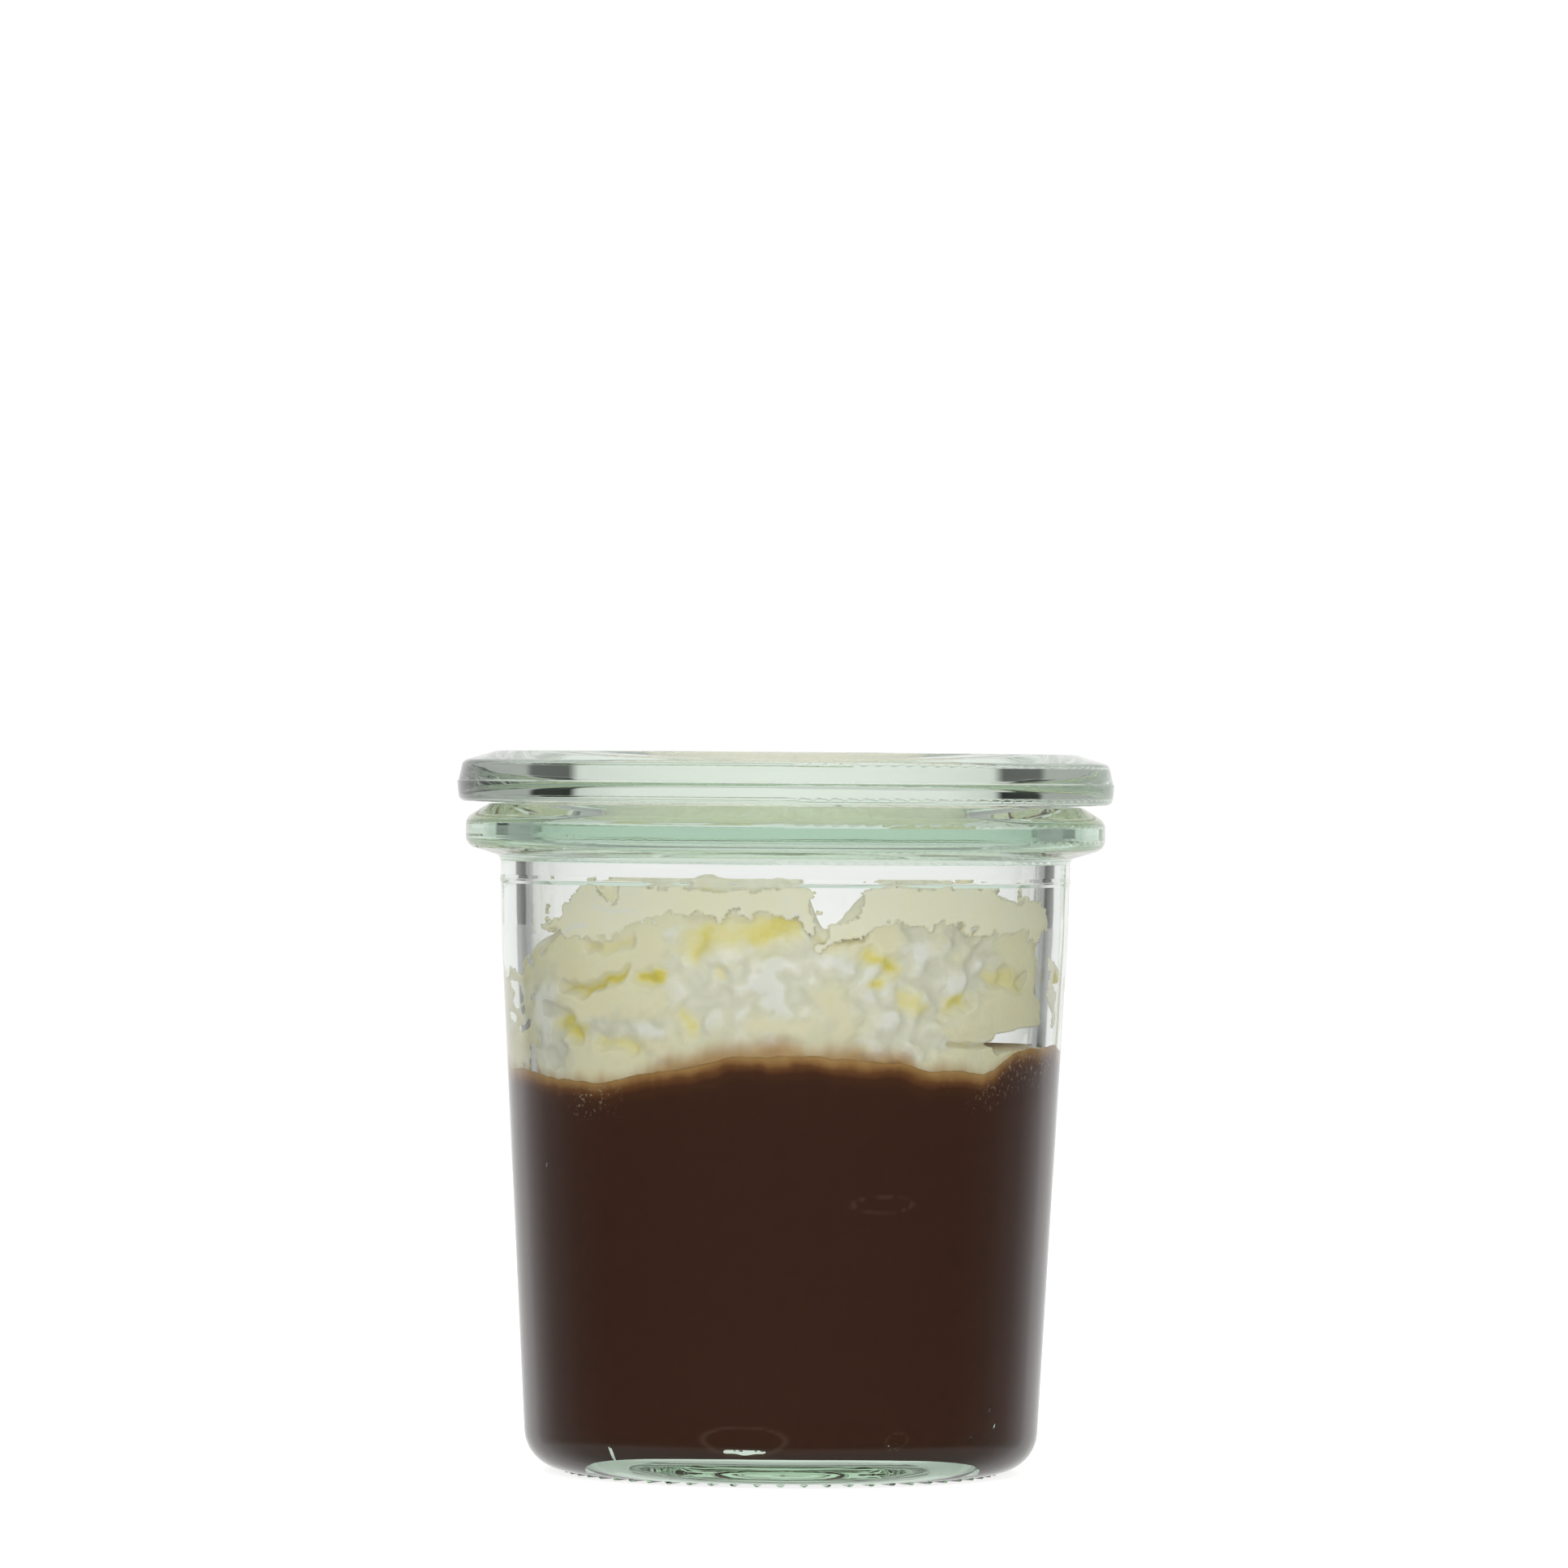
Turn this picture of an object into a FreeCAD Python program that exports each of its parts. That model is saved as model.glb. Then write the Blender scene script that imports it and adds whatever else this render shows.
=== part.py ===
"""Small tapered canning jar of pressed glass with its loose glass lid, filled with a
chocolate pudding and topped with whipped cream.

Frame: +Z up, origin on the table under the middle of the jar, millimetres.
Azimuths are counted about +Z from the front (-Y) towards the right (+X).

Nodes: jar, lid, pudding, cream. The lid lies on the rim, and the ring under it drops
into the mouth and keeps it centred. The pudding fills the jar to an uneven level. The
cream is one long piped rope that coils up the wall and then inwards over the top, so
its folds press flat against the glass and leave creases between them.
"""
import FreeCAD, Part
import math
import os

from FreeCAD import Vector

# ---------------------------------------------------------------- jar, outside
jar_height = 71.0  # table to the top of the rim
foot_radius = 27.1  # where the wall's line would meet the table
wall_gain = 3.05  # the taper widens the wall by this much on its way up
neck_gain = 0.2  # and this much more from there to the rim's flange
neck_length = 8.3  # nearly straight part under the flange
taper_blend = 60.0  # radius of the soft bend between taper and neck
heel_radius = 4.3  # big rounding between wall and foot
seam_drop = 2.4  # flange to the joint line between neck ring and body mould
seam_width = 0.9
seam_relief = 0.10
seam_round = 0.6

flange_reach = 3.7  # how far the rim's flange stands out from the neck
flange_height = 5.7  # rim top down to the neck
flange_under_rise = 1.15  # its underside climbs this much towards the edge
flange_bevel_drop = 1.65  # outer bevel, where a sealing ring would lie
flange_bevel_width = 2.4
flange_edge_round = 1.3
flange_top_round = 0.8
neck_fillet = 0.7

# ---------------------------------------------------------------- jar, inside
wall = 3.0
mouth_round = 1.0
crown_radius = 12.0  # the rim's top is a shallow arch, so the lid seats on a circle
crown_slope_deg = 5.0
floor_thickness = 2.3
floor_dome = 0.35  # the floor rises to its middle
inner_heel_radius = 5.0

# ---------------------------------------------------------------- jar, foot
foot_ring_width = 1.6  # ring that carries the grip nubs
foot_ring_round = 0.7
panel_rise = 0.4  # push-up of the underside inside that ring
panel_dome = 0.3
panel_slope_width = 1.6
panel_round = 1.5
medal_inset = 7.5  # plain raised disc in the middle of the underside
medal_relief = 0.35
medal_round = 0.3
nub_count = 60
nub_height = 0.22  # the jar stands on these
nub_radius = 0.62
nub_length = 1.9
nub_overhang = 0.5  # the nubs run this far up the heel

# ---------------------------------------------------------------- lid
lid_thickness = 5.5  # seat to top ring
lid_overhang = 0.95  # past the jar's flange
lid_step = 0.14  # the two halves of the mould meet in a small step
lid_step_height = 2.25  # above the seat
lid_step_round = 0.1
lid_draft = 0.22
lid_underside_rise = 0.1  # the underside climbs this much to its edge
lid_underside_width = 2.6
lid_underside_round = 1.4
lid_shoulder_width = 3.56  # sloping shoulder between side and flat top
lid_shoulder_drop = 1.1
lid_shoulder_draft = 0.45
lid_shoulder_round = 1.5
lid_edge_round = 0.8
lid_ring_width = 2.3  # raised ring that keeps a stacked jar in place
lid_ring_slope = 0.6
lid_ring_round = 0.5
lid_recess_depth = 0.8
lid_panel_thickness = 4.2
plug_clearance = 0.55  # centring ring to the jar's mouth, on the radius
plug_depth = 2.3
plug_width = 2.6
plug_draft = 0.2
plug_round = 0.75
plug_fillet = 0.4

# ---------------------------------------------------------------- pudding
pudding_level = 43.9  # mean height at the wall
pudding_tilt = 1.1  # it stands higher on the right
pudding_wave = 0.5
pudding_dish = 1.2  # its middle lies this much lower
level_samples = 14  # spans each way in the surface of the pudding's top

# ---------------------------------------------------------------- cream
cream_headspace = 7.6  # rim down to the cream's highest fold
cream_shoulder = 5.0  # rounding between its side and its top
cream_press = 2.2  # the rope's crests would reach this far past the wall
cream_crease = 2.7  # creases between two turns of the rope
rope_pitch = 8.6  # from one turn to the next
rope_flatness = 0.4  # lower gives broader crests and sharper creases
lobe_depth = 1.1  # slow lumps along the rope
cream_skirt = 5.0  # how far the form starts below the pudding's level
azimuth_poles = 40
turn_poles = 6  # control points for each turn of the rope
# hollows: azimuth, height under the cream's top, half width, half height, depth
cream_hollows = [
    (-66.0, 2.5, 17.0, 5.5, 6.0),
    (11.0, 1.0, 8.0, 5.0, 5.5),
    (72.0, 0.5, 15.0, 3.5, 4.5),
    (60.0, 17.2, 15.0, 2.2, 2.6),
    (137.0, 2.0, 13.0, 5.0, 5.0),
    (214.0, 1.0, 16.0, 4.0, 4.0),
]

parts_folder = "parts"
full_turn = 2.0 * math.pi


# ---------------------------------------------------------------- drawing helpers
def corner_arc(before, corner, after, radius):
    """Start, middle and end of the tangent arc that rounds a corner."""
    to_before = (before - corner).normalize()
    to_after = (after - corner).normalize()
    half = to_before.getAngle(to_after) / 2.0
    reach = radius / math.tan(half)
    bisector = (to_before + to_after).normalize()
    centre = corner + bisector * (radius / math.sin(half))
    start = corner + to_before * reach
    end = corner + to_after * reach
    return start, centre - bisector * radius, end


def outline(corners):
    """Closed wire in the XZ plane through (radius, height, rounding) corners."""
    points = [Vector(r, 0, z) for r, z, _ in corners]
    arcs = []
    for i, (_, _, rounding) in enumerate(corners):
        here = points[i]
        if rounding > 0:
            after = points[(i + 1) % len(points)]
            arcs.append(corner_arc(points[i - 1], here, after, rounding))
        else:
            arcs.append((here, None, here))
    edges = []
    for i, (start, middle, end) in enumerate(arcs):
        if middle is not None:
            edges.append(Part.Arc(start, middle, end).toShape())
        following = arcs[(i + 1) % len(arcs)][0]
        if (following - end).Length > 1e-6:
            edges.append(Part.LineSegment(end, following).toShape())
    return Part.Wire(edges)


def revolved(corners):
    """Solid of revolution about Z, from an outline that ends on the axis."""
    return Part.Face(outline(corners)).revolve(Vector(0, 0, 0), Vector(0, 0, 1), 360.0)


def at(azimuth, radius, height):
    """Point at an azimuth counted from the front (-Y) towards the right (+X)."""
    return Vector(radius * math.sin(azimuth), -radius * math.cos(azimuth), height)


# ---------------------------------------------------------------- jar
def neck_foot():
    """Height where the taper ends and the neck begins."""
    return jar_height - flange_height - neck_length


def neck_radius():
    return foot_radius + wall_gain + neck_gain


def flange_radius():
    return neck_radius() + flange_reach


def wall_radius(height):
    """Outer radius of the wall, without its roundings."""
    if height <= neck_foot():
        return foot_radius + wall_gain * height / neck_foot()
    share = min(1.0, (height - neck_foot()) / neck_length)
    return foot_radius + wall_gain + neck_gain * share


def inner_radius(height):
    """Radius of the inside of the jar, without its roundings."""
    return wall_radius(height) - wall


def bevel_radius():
    """Where the rim's top meets the outer bevel of its flange."""
    return flange_radius() - flange_bevel_width


def seat_radius():
    """The circle on which the lid rests, in the middle of the rim's top."""
    return (inner_radius(jar_height) + bevel_radius()) / 2.0


def foot_ring_outer():
    return foot_radius - heel_radius


def floor_height():
    """Height of the inside floor at its edge."""
    return nub_height + panel_rise + floor_thickness


def foot_corners():
    """The underside, from the axis out to the wall's foot."""
    ring_inner = foot_ring_outer() - foot_ring_width
    panel = nub_height + panel_rise
    panel_edge = ring_inner - panel_slope_width
    medal = panel_edge - medal_inset
    crown = panel + panel_dome
    return [
        (0.0, crown - medal_relief, 0.0),
        (medal, crown - medal_relief, medal_round),
        (medal + medal_relief, crown, medal_round),
        (panel_edge, panel, panel_round),
        (ring_inner, nub_height, foot_ring_round),
        (wall_radius(nub_height), nub_height, heel_radius),
    ]


def seam_corners():
    """The joint line that the mould leaves round the neck."""
    middle = jar_height - flange_height - seam_drop
    low = middle - seam_width / 2.0
    high = middle + seam_width / 2.0
    return [
        (wall_radius(low), low, 0.0),
        (wall_radius(middle) + seam_relief, middle, seam_round),
        (wall_radius(high), high, 0.0),
    ]


def flange_corners():
    """The rim's flange, from the neck out and up to its bevel."""
    under = jar_height - flange_height
    edge = flange_radius()
    return [
        (neck_radius(), under, neck_fillet),
        (edge, under + flange_under_rise, flange_edge_round),
        (edge, jar_height - flange_bevel_drop, flange_edge_round),
    ]


def crown_corners():
    """The arched top of the rim, from the bevel in to the mouth."""
    slope = math.tan(math.radians(crown_slope_deg))
    apex = jar_height + crown_radius * (math.hypot(1.0, slope) - 1.0)
    half_width = bevel_radius() - seat_radius()
    return [
        (bevel_radius(), apex - half_width * slope, flange_top_round),
        (seat_radius(), apex, crown_radius),
        (inner_radius(jar_height), apex - half_width * slope, mouth_round),
    ]


def inside_corners():
    """The inside wall and floor, from the neck down to the axis."""
    low = floor_height()
    return [
        (inner_radius(neck_foot()), neck_foot(), taper_blend),
        (inner_radius(low), low, inner_heel_radius),
        (0.0, low + floor_dome, 0.0),
    ]


def grip_nubs():
    """Short half-round bars under the foot ring, one for each pitch, all radial."""
    first = foot_ring_outer() + nub_overhang - nub_length
    bars = []
    for i in range(nub_count):
        azimuth = full_turn * i / nub_count
        start = at(azimuth, first, nub_radius)
        along = at(azimuth, 1.0, 0.0)
        bars.append(Part.makeCylinder(nub_radius, nub_length, start, along))
    return bars


def make_jar():
    bend = (wall_radius(neck_foot()), neck_foot(), taper_blend)
    outside = foot_corners() + [bend] + seam_corners() + flange_corners()
    body = revolved(outside + crown_corners() + inside_corners())
    return body.fuse(grip_nubs())


# ---------------------------------------------------------------- lid
def lid_radius():
    return flange_radius() + lid_overhang


def lid_under_corners():
    """The underside: panel, centring ring and the flat that lies on the rim."""
    seat = jar_height
    panel = seat + lid_thickness - lid_recess_depth - lid_panel_thickness
    outer = inner_radius(jar_height) - plug_clearance
    inner = outer - plug_width
    foot = seat - plug_depth
    edge = lid_radius() - lid_draft
    return [
        (0.0, panel, 0.0),
        (inner, panel, plug_round),
        (inner + plug_draft, foot, plug_round),
        (outer - plug_draft, foot, plug_round),
        (outer, seat, plug_fillet),
        (edge - lid_underside_width, seat, lid_underside_round),
        (edge, seat + lid_underside_rise, lid_edge_round),
    ]


def lid_upper_corners():
    """The stepped side, the sloping shoulder and the top with its stacking ring."""
    top = jar_height + lid_thickness
    step = jar_height + lid_step_height
    upper = lid_radius() - lid_step
    shoulder = upper - lid_shoulder_draft
    flat = shoulder - lid_shoulder_width
    recess = flat - lid_ring_width
    return [
        (lid_radius(), step, lid_step_round),
        (upper, step + lid_step, lid_step_round),
        (shoulder, top - lid_shoulder_drop, lid_edge_round),
        (flat, top, lid_shoulder_round),
        (recess, top, lid_ring_round),
        (recess - lid_ring_slope, top - lid_recess_depth, lid_ring_round),
        (0.0, top - lid_recess_depth, 0.0),
    ]


def make_lid():
    return revolved(lid_under_corners() + lid_upper_corners())


# ---------------------------------------------------------------- pudding
def jar_space():
    """The space inside the jar, closed off at the height of the rim."""
    mouth = inner_radius(jar_height)
    opening = [(0.0, jar_height, 0.0), (mouth, jar_height, 0.0)]
    return revolved(opening + inside_corners())


def level_at(azimuth, radius):
    """Height of the pudding's uneven top."""
    share = radius / inner_radius(pudding_level)
    wave = pudding_wave * (math.cos(3 * azimuth + 0.4) + 0.6 * math.cos(5 * azimuth - 1.0))
    slope = share * pudding_tilt * math.sin(azimuth)
    return pudding_level + slope + share**2 * wave - pudding_dish * (1.0 - share**2)


def below_the_level():
    """Everything under the pudding's top, as one block."""
    reach = flange_radius()
    ticks = [2.0 * reach * i / level_samples - reach for i in range(level_samples + 1)]
    grid = []
    for x in ticks:
        row = [level_at(math.atan2(x, -y), math.hypot(x, y)) for y in ticks]
        grid.append([Vector(x, y, height) for y, height in zip(ticks, row)])
    surface = Part.BSplineSurface()
    surface.interpolate(grid)
    return surface.toShape().extrude(Vector(0, 0, -2.0 * jar_height))


# ---------------------------------------------------------------- cream
def cream_top():
    return jar_height - cream_headspace


def base_point(distance):
    """Radius, height and outward direction of the cream's plain form, at a distance
    along its outline: up the wall, round the shoulder and in to the middle."""
    low = pudding_level - cream_skirt
    side = cream_top() - cream_shoulder - low
    bend = cream_shoulder * math.pi / 2.0
    if distance < side:
        height = low + distance
        return inner_radius(height), height, 0.0
    wall_line = inner_radius(low + side)
    turned = min(1.0, (distance - side) / bend) * math.pi / 2.0
    past = max(0.0, distance - side - bend)
    radius = wall_line - cream_shoulder * (1.0 - math.cos(turned)) - past
    height = low + side + cream_shoulder * math.sin(turned)
    return radius, height, turned


def outline_length():
    """Length of the cream's plain outline, from its skirt to the middle."""
    side = cream_top() - cream_shoulder - (pudding_level - cream_skirt)
    wall_line = inner_radius(cream_top() - cream_shoulder)
    return side + cream_shoulder * math.pi / 2.0 + wall_line - cream_shoulder


def rope(azimuth, distance):
    """1 on the rope's crests and 0 in its creases, coiling with the azimuth."""
    phase = (full_turn * distance / rope_pitch - azimuth) / 2.0
    return abs(math.cos(phase)) ** (2.0 * rope_flatness)


def lobes(azimuth, distance):
    """Slow lumps, between -1 and 1."""
    along = distance / rope_pitch
    total = 0.5 * math.cos(3 * azimuth + 1.7 * along + 0.8)
    total += 0.3 * math.cos(5 * azimuth - 2.3 * along - 0.4)
    return total + 0.2 * math.cos(8 * azimuth + 3.1 * along + 2.0)


def hollow_depth(azimuth, height):
    """How far the cream draws back where it left a hollow against the glass."""
    total = 0.0
    for middle, drop, half_width, half_height, depth in cream_hollows:
        turn = math.degrees(azimuth) - middle
        turn = (turn + 180.0) % 360.0 - 180.0
        rise = height - (cream_top() - drop)
        total += depth * math.exp(-((turn / half_width) ** 2) - (rise / half_height) ** 2)
    return total


def cream_pole(azimuth, distance):
    """Control point of the cream's skin, held back by the wall where it would pass it."""
    radius, height, turned = base_point(distance)
    fade = min(1.0, radius / rope_pitch)
    relief = cream_press * math.cos(turned) - hollow_depth(azimuth, height)
    relief -= cream_crease * (1.0 - rope(azimuth, distance))
    relief -= lobe_depth * (1.0 - lobes(azimuth, distance))
    height += relief * fade * math.sin(turned)
    outwards = radius + relief * fade * math.cos(turned)
    return at(azimuth, min(outwards, inner_radius(height)), height)


def skin_surface(poles):
    """Smooth surface over control points, closed round the axis."""
    around = len(poles)
    along = len(poles[0])
    knots_around = list(range(around + 1))
    knots_along = list(range(along - 2))
    ends = [4] + [1] * (along - 4) + [4]
    surface = Part.BSplineSurface()
    surface.buildFromPolesMultsKnots(
        poles, [1] * (around + 1), ends, knots_around, knots_along, True, False, 3, 3
    )
    return surface.toShape()


def cream_form():
    """The coiled cream as a closed solid, before the pudding shapes its underside."""
    count = math.ceil(outline_length() / rope_pitch * turn_poles)
    stations = [outline_length() * i / count for i in range(count + 1)]
    azimuths = [full_turn * i / azimuth_poles for i in range(azimuth_poles)]
    low = pudding_level - cream_skirt
    poles = []
    for azimuth in azimuths:
        column = [cream_pole(azimuth, distance) for distance in stations]
        column[0] = at(azimuth, inner_radius(low), low)
        column[-1] = Vector(0, 0, column[-1].z)
        poles.append(column)
    skin = skin_surface(poles)
    rim = [e for e in skin.Edges if e.BoundBox.ZMax < low + 0.01]
    base = Part.Face(Part.Wire(rim))
    shell = Part.Shell([skin, base])
    shell.sewShape()
    return Part.Solid(shell)


# ---------------------------------------------------------------- the whole
def one_solid(shape, name):
    """The largest solid of a shape, with split faces joined, and checked."""
    solid = max(shape.Solids, key=lambda s: s.Volume).removeSplitter()
    if not solid.isValid():
        raise ValueError(name + " isn't a valid solid")
    return solid


def main():
    os.makedirs(parts_folder, exist_ok=True)
    below = below_the_level()
    nodes = {
        "jar": make_jar(),
        "lid": make_lid(),
        "pudding": jar_space().common(below),
        "cream": cream_form().cut(below),
    }
    for name, shape in nodes.items():
        solid = one_solid(shape, name)
        solid.exportStep(os.path.join(parts_folder, name + ".step"))
        box = solid.BoundBox
        volume = solid.Volume / 1000.0
        faces = len(solid.Faces)
        print(f"{name}: {volume:.1f} ml, {faces} faces, z {box.ZMin:.2f} to {box.ZMax:.2f}")


main()
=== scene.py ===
import math

import bmesh
import bpy
import numpy as np
from mathutils import Matrix, Vector, noise


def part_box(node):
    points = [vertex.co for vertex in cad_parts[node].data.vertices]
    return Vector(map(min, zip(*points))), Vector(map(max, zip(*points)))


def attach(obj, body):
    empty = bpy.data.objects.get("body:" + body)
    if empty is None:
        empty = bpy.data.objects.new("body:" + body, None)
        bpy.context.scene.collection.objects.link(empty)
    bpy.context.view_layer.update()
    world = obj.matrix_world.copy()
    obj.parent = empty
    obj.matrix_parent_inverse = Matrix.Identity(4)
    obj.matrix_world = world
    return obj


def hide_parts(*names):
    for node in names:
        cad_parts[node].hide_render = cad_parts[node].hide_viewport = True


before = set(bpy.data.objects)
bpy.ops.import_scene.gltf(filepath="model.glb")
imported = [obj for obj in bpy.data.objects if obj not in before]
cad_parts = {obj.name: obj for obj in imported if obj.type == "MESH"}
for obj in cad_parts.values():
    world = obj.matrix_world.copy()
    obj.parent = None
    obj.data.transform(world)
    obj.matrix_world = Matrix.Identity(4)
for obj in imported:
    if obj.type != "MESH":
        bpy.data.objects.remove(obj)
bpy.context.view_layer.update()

mm = 0.001  # shapes are worked out in millimetres and made in metres


def linear(colour):
    # "#rrggbb" in sRGB to the linear values that sockets take
    parts = [int(colour[i:i + 2], 16) / 255.0 for i in (1, 3, 5)]
    return [c / 12.92 if c <= 0.04045 else ((c + 0.055) / 1.055) ** 2.4 for c in parts] + [1.0]


def addNode(tree, kind, values=None, links=None, stops=None, **settings):
    # stops are a colour ramp's: (place, hex colour or plain grey level)
    node = tree.nodes.new("ShaderNode" + kind)
    for name, value in settings.items():
        setattr(node, name, value)
    for place, value in (values or {}).items():
        node.inputs[place].default_value = value
    for place, source in (links or {}).items():
        tree.links.new(source, node.inputs[place])
    if stops:
        elements = node.color_ramp.elements
        while len(elements) < len(stops):
            elements.new(0.5)
        for element, (place, colour) in zip(elements, stops):
            element.position = place
            element.color = linear(colour) if isinstance(colour, str) else (colour, colour, colour, 1.0)
    return node


def newMaterial(name):
    material = bpy.data.materials.new(name)
    material.use_nodes = True
    material.node_tree.nodes.clear()
    return material, material.node_tree


def smooth(low, high, value):
    share = np.clip((value - low) / (high - low), 0.0, 1.0)
    return share * share * (3.0 - 2.0 * share)


def around(angle):
    # brings an angle in degrees between -180 and 180
    return (angle + 180.0) % 360.0 - 180.0


def soften(field, times):
    # evens a field [column][row] out a little, so that steps in it become slopes
    for _ in range(times):
        field = 0.25 * np.roll(field, 1, axis=0) + 0.5 * field + 0.25 * np.roll(field, -1, axis=0)
        wide = np.pad(field, ((0, 0), (1, 1)), mode="edge")
        field = 0.25 * wide[:, :-2] + 0.5 * field + 0.25 * wide[:, 2:]
    return field


def lumpy(azimuth, height, size, octaves=4, seed=0.0, squeeze=1.0):
    # fractal noise about 0 on the jar's wall, its lumps about size mm across
    angle = np.radians(azimuth)
    places = np.broadcast_arrays(wallScale * np.sin(angle), -wallScale * np.cos(angle), height * squeeze)
    flat = zip(*[a.ravel() / size + seed for a in places])
    return np.array([noise.fractal(Vector(p), 1.0, 2.1, octaves) for p in flat]).reshape(places[0].shape)


def strokeDistance(azimuth, height, points):
    # distance in mm, along the wall, from a line through points (azimuth, height)
    start = points[0][0]
    x = np.radians(around(azimuth - start)) * wallScale
    line = [(math.radians(around(a - start)) * wallScale, h) for a, h in points]
    if len(line) == 1:
        return np.hypot(x - line[0][0], height - line[0][1])
    nearest = np.full(np.broadcast(x, height).shape, 1e9)
    for (ax, ay), (bx, by) in zip(line, line[1:]):
        length = max((bx - ax) ** 2 + (by - ay) ** 2, 1e-9)
        share = np.clip(((x - ax) * (bx - ax) + (height - ay) * (by - ay)) / length, 0.0, 1.0)
        nearest = np.minimum(nearest, np.hypot(x - ax - share * (bx - ax), height - ay - share * (by - ay)))
    return nearest


def mendMesh(mesh):
    # joins doubled points, drops loose ones and turns every face outwards
    work = bmesh.new()
    work.from_mesh(mesh)
    bmesh.ops.remove_doubles(work, verts=work.verts, dist=1e-6)
    bmesh.ops.delete(work, geom=[v for v in work.verts if not v.link_faces], context="VERTS")
    bmesh.ops.recalc_face_normals(work, faces=work.faces)
    work.to_mesh(mesh)
    work.free()


def meshObject(name, corners, faces, attributes):
    mesh = bpy.data.meshes.new(name)
    mesh.from_pydata((corners.reshape(-1, 3) * mm).tolist(), [], faces)
    for key, values in attributes.items():
        layer = mesh.attributes.new(key, "FLOAT", "POINT")
        layer.data.foreach_set("value", np.ascontiguousarray(values, np.float32).ravel())
    mendMesh(mesh)
    mesh.polygons.foreach_set("use_smooth", [True] * len(mesh.polygons))
    mesh.update()
    piece = bpy.data.objects.new(name, mesh)
    bpy.context.scene.collection.objects.link(piece)
    return piece


def roundFaces(columns, rows):
    # faces over points [column][row], where the last column meets the first
    faces = []
    for i in range(columns):
        j = (i + 1) % columns
        faces += [(i * rows + k, j * rows + k, j * rows + k + 1, i * rows + k + 1) for k in range(rows - 1)]
    return faces


def polar(azimuth, radius, height):
    # azimuth in degrees from the front towards the right
    angle = np.radians(azimuth)
    return np.stack(np.broadcast_arrays(radius * np.sin(angle), -radius * np.cos(angle), height), axis=-1)


inside = {
    "mouth": 69.0,  # height in mm up to which it is read
    "slack": 2.0,  # mm that its wall may stand outside the plain pudding
    "turned": 0.3,  # how far a face of it turns to the axis at least, as a sine
    "level": 0.4,  # how level one of its floor lies at least, as a cosine
    "floorHeights": (2.0, 10.0),  # mm between which the middle of its floor is
    "middleRadius": 0.5,
    "scaleHeight": 50.0,  # height in mm at which azimuths are turned into lengths
}


def readInside():
    # heights and radii in mm of the rings that the jar's inside is made of, floor's edge to mouth
    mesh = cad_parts["jar"].data
    places = np.empty(len(mesh.vertices) * 3)
    mesh.vertices.foreach_get("co", places)
    places = places.reshape(-1, 3) / mm
    radii = np.hypot(places[:, 0], places[:, 1])
    low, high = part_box("pudding")
    lowest, widest = low.z / mm - 0.01, high.x / mm + inside["slack"]
    rings = {}
    for polygon in mesh.polygons:
        out = polygon.center.xy.dot(polygon.normal.xy)
        if out > -inside["turned"] * polygon.center.xy.length and polygon.normal.z < inside["level"]:
            continue
        for i in polygon.vertices:
            rings.setdefault(round(places[i, 2], 2), []).append(radii[i])
    rings = {z: max(r) for z, r in rings.items() if lowest <= z <= inside["mouth"] and max(r) < widest}
    heights = np.array(sorted(rings))
    floorLow, floorHigh = inside["floorHeights"]
    middle = (radii < inside["middleRadius"]) & (places[:, 2] > floorLow) & (places[:, 2] < floorHigh)
    return heights, np.array([rings[z] for z in heights]), float(places[middle, 2].max())


def wallRadius(height):
    return np.interp(height, insideHeights, insideRadii)


insideHeights, insideRadii, floorMiddle = readInside()
wallScale = float(wallRadius(inside["scaleHeight"]))  # mm; turns azimuths into lengths along the wall
print("inside of the jar read:", len(insideHeights), "rings")


pudding = {
    "reach": 0.12,  # mm into the glass
    "lift": 0.03,  # film of air under its middle, mm
    "columns": (440, 110),  # front, back
    "rows": (10, 118, 14),  # floor, side, top
    # where it meets the glass: azimuth, height in mm
    "edge": [(-66, 42.7), (-47, 41.9), (-29, 42.8), (-16, 44.4), (0, 45.0), (17, 44.7), (34, 43.6),
             (50, 42.9), (58, 45.2), (74, 45.9), (100, 44.9), (135, 43.6), (170, 44.6), (205, 43.2),
             (250, 44.0), (275, 43.0)],
    "edgeRoughness": 0.5,  # mm
    "edgeRound": 1.5,  # mm from the wall to where its top begins
    "middleDrop": 1.5,  # mm that its middle lies lower
    "frothyFrom": (34.0, 48.0),  # degrees from the front where its edge begins to be and is full of bubbles
    # pockets of air against the glass: azimuth, height, half width, half height
    "pockets": [(-9, 5.0, 4.1, 1.35), (29, 4.9, 1.15, 0.8), (150, 6.0, 3.0, 1.0), (-100, 6.0, 2.0, 1.0)],
    "pocketDepth": 0.35,  # mm off the glass
    # painted highlight only: outlines of shallow air pockets, drawn as a lighter ring with no dip in the
    # surface, given as the pockets
    "paintedBlisterRims": [(23, 29.6, 3.2, 0.75), (-130, 22.0, 2.0, 1.2)],  # shallow ones, as the pockets
    # small bubbles: azimuth, height, half size
    "bubbles": [(-47, 3.7, 0.32), (57, 7.7, 0.3), (60, 5.9, 0.22), (52, 4.7, 0.36), (-64, 33, 0.2),
                (48, 19, 0.2)],
    "bubbleDepth": 0.25,
}


def closedCurve(azimuth, knots, rounding):
    # heights all round the jar through knots (azimuth, height), corners rounded over a few degrees
    knots = np.array(knots, float)
    angles = np.concatenate((knots[:, 0] - 360.0, knots[:, 0], knots[:, 0] + 360.0))
    turned = around(np.asarray(azimuth, float))
    turned = np.where(turned < -90.0, turned + 360.0, turned)
    dense = np.arange(-180.0, 540.0, 1.0)
    window = np.hanning(rounding) / np.hanning(rounding).sum()
    soft = np.convolve(np.interp(dense, angles, np.tile(knots[:, 1], 3)), window, mode="same")
    return np.interp(turned, dense, soft)


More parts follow.
